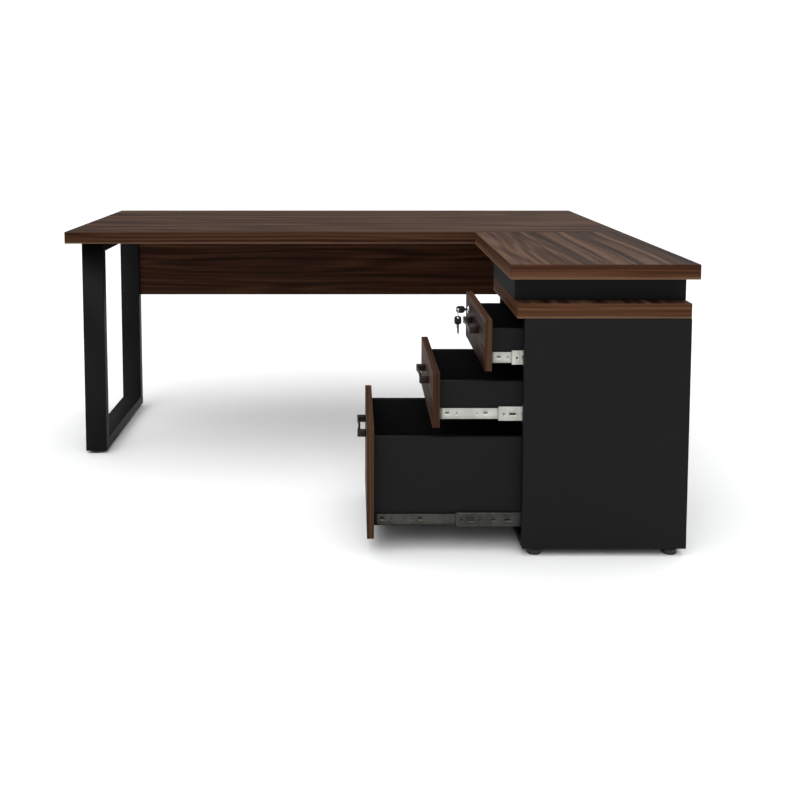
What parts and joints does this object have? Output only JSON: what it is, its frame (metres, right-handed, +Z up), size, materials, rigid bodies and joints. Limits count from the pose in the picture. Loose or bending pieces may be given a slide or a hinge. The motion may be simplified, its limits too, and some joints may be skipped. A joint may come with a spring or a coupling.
{
  "type": "corner desk",
  "caption": "L-shaped walnut and black desk with a loop-leg main top and a return top on a three-drawer pedestal on slides, with a lock and keys.",
  "frame": {"origin": "on the floor, at the middle of the desk's footprint", "axes": "+X along the main top to the return end, +Y to the back of the desk, +Z up"},
  "size_m": [1.8, 1.5, 0.75],
  "materials": {
    "walnut": "walnut-grain melamine, satin",
    "black_board": "black melamine on particleboard, matt",
    "black_steel": "black powder coat, fine texture",
    "bright_zinc": "bright zinc plate",
    "dark_zinc": "black zinc plate",
    "bronze": "dark bronze lacquer, satin",
    "black_plastic": "moulded black plastic",
    "beech": "bare fluted beech"
  },
  "bodies": {
    "desk": {"main_top": "walnut", "return_top": "walnut", "modesty_panel": "walnut", "left_leg_frame": "black_steel", "right_leg_frame": "black_steel", "frame_feet": "black_plastic", "modesty_brackets": "bright_zinc", "seam_plates": "black_steel", "seam_dowels": "beech", "board_screws": "bright_zinc", "pedestal_top": "walnut", "pedestal_near_side": "black_board", "pedestal_far_side": "black_board", "pedestal_back": "black_board", "pedestal_bottom": "black_board", "pedestal_feet": "black_plastic", "cam_discs": "bright_zinc", "cam_bolts": "bright_zinc", "riser_near": "black_board", "riser_far": "black_board", "riser_left": "black_board", "riser_right": "black_board", "lock_strike": "bright_zinc", "top_slides_cabinet": "bright_zinc", "middle_slides_cabinet": "bright_zinc", "bottom_slides_cabinet": "dark_zinc"},
    "top_drawer": {"top_drawer_front": "walnut", "top_drawer_near_side": "black_board", "top_drawer_far_side": "black_board", "top_drawer_back": "black_board", "top_drawer_bottom": "black_board", "top_slides_drawer": "bright_zinc", "top_handle": "bronze", "lock_housing": "bright_zinc"},
    "top_slide_members": {"top_slides_middle": "bright_zinc", "top_slides_balls": "bright_zinc"},
    "middle_drawer": {"middle_drawer_front": "walnut", "middle_drawer_near_side": "black_board", "middle_drawer_far_side": "black_board", "middle_drawer_back": "black_board", "middle_drawer_bottom": "black_board", "middle_slides_drawer": "bright_zinc", "middle_handle": "bronze"},
    "middle_slide_members": {"middle_slides_middle": "bright_zinc", "middle_slides_balls": "bright_zinc"},
    "bottom_drawer": {"bottom_drawer_front": "walnut", "bottom_drawer_near_side": "black_board", "bottom_drawer_far_side": "black_board", "bottom_drawer_back": "black_board", "bottom_drawer_bottom": "black_board", "bottom_slides_drawer": "dark_zinc", "bottom_handle": "bronze"},
    "bottom_slide_members": {"bottom_slides_middle": "dark_zinc", "bottom_slides_balls": "bright_zinc"},
    "lock": {"lock_plug": "bright_zinc", "lock_cam": "bright_zinc", "lock_key": "black_plastic"},
    "spare_keys": {"key_ring": "bright_zinc", "spare_key": "black_plastic"}
  },
  "joints": [
    {"name": "top_drawer_slide", "type": "slide", "parent": "desk", "child": "top_drawer", "axis": [-1, 0, 0], "range_m": [-0.08, 0.32]},
    {"name": "top_member_slide", "type": "slide", "parent": "desk", "child": "top_slide_members", "axis": [-1, 0, 0], "range_m": [-0.04, 0.16]},
    {"name": "middle_drawer_slide", "type": "slide", "parent": "desk", "child": "middle_drawer", "axis": [-1, 0, 0], "range_m": [-0.21, 0.19]},
    {"name": "middle_member_slide", "type": "slide", "parent": "desk", "child": "middle_slide_members", "axis": [-1, 0, 0], "range_m": [-0.105, 0.095]},
    {"name": "bottom_drawer_slide", "type": "slide", "parent": "desk", "child": "bottom_drawer", "axis": [-1, 0, 0], "range_m": [-0.375, 0.025]},
    {"name": "bottom_member_slide", "type": "slide", "parent": "desk", "child": "bottom_slide_members", "axis": [-1, 0, 0], "range_m": [-0.1875, 0.0125]},
    {"name": "lock_turn", "type": "hinge", "parent": "top_drawer", "child": "lock", "pos_m": [0.363, -0.392, 0.568], "axis": [-1, 0, 0], "range_deg": [0, 90]},
    {"name": "spare_key_swing", "type": "hinge", "parent": "lock", "child": "spare_keys", "pos_m": [0.333, -0.392, 0.568], "axis": [0, 1, 0], "range_deg": [-15, 60]}
  ],
  "couplings": [
    {"joint": "top_member_slide", "follows": "top_drawer_slide", "ratio": 0.5},
    {"joint": "middle_member_slide", "follows": "middle_drawer_slide", "ratio": 0.5},
    {"joint": "bottom_member_slide", "follows": "bottom_drawer_slide", "ratio": 0.5}
  ]
}
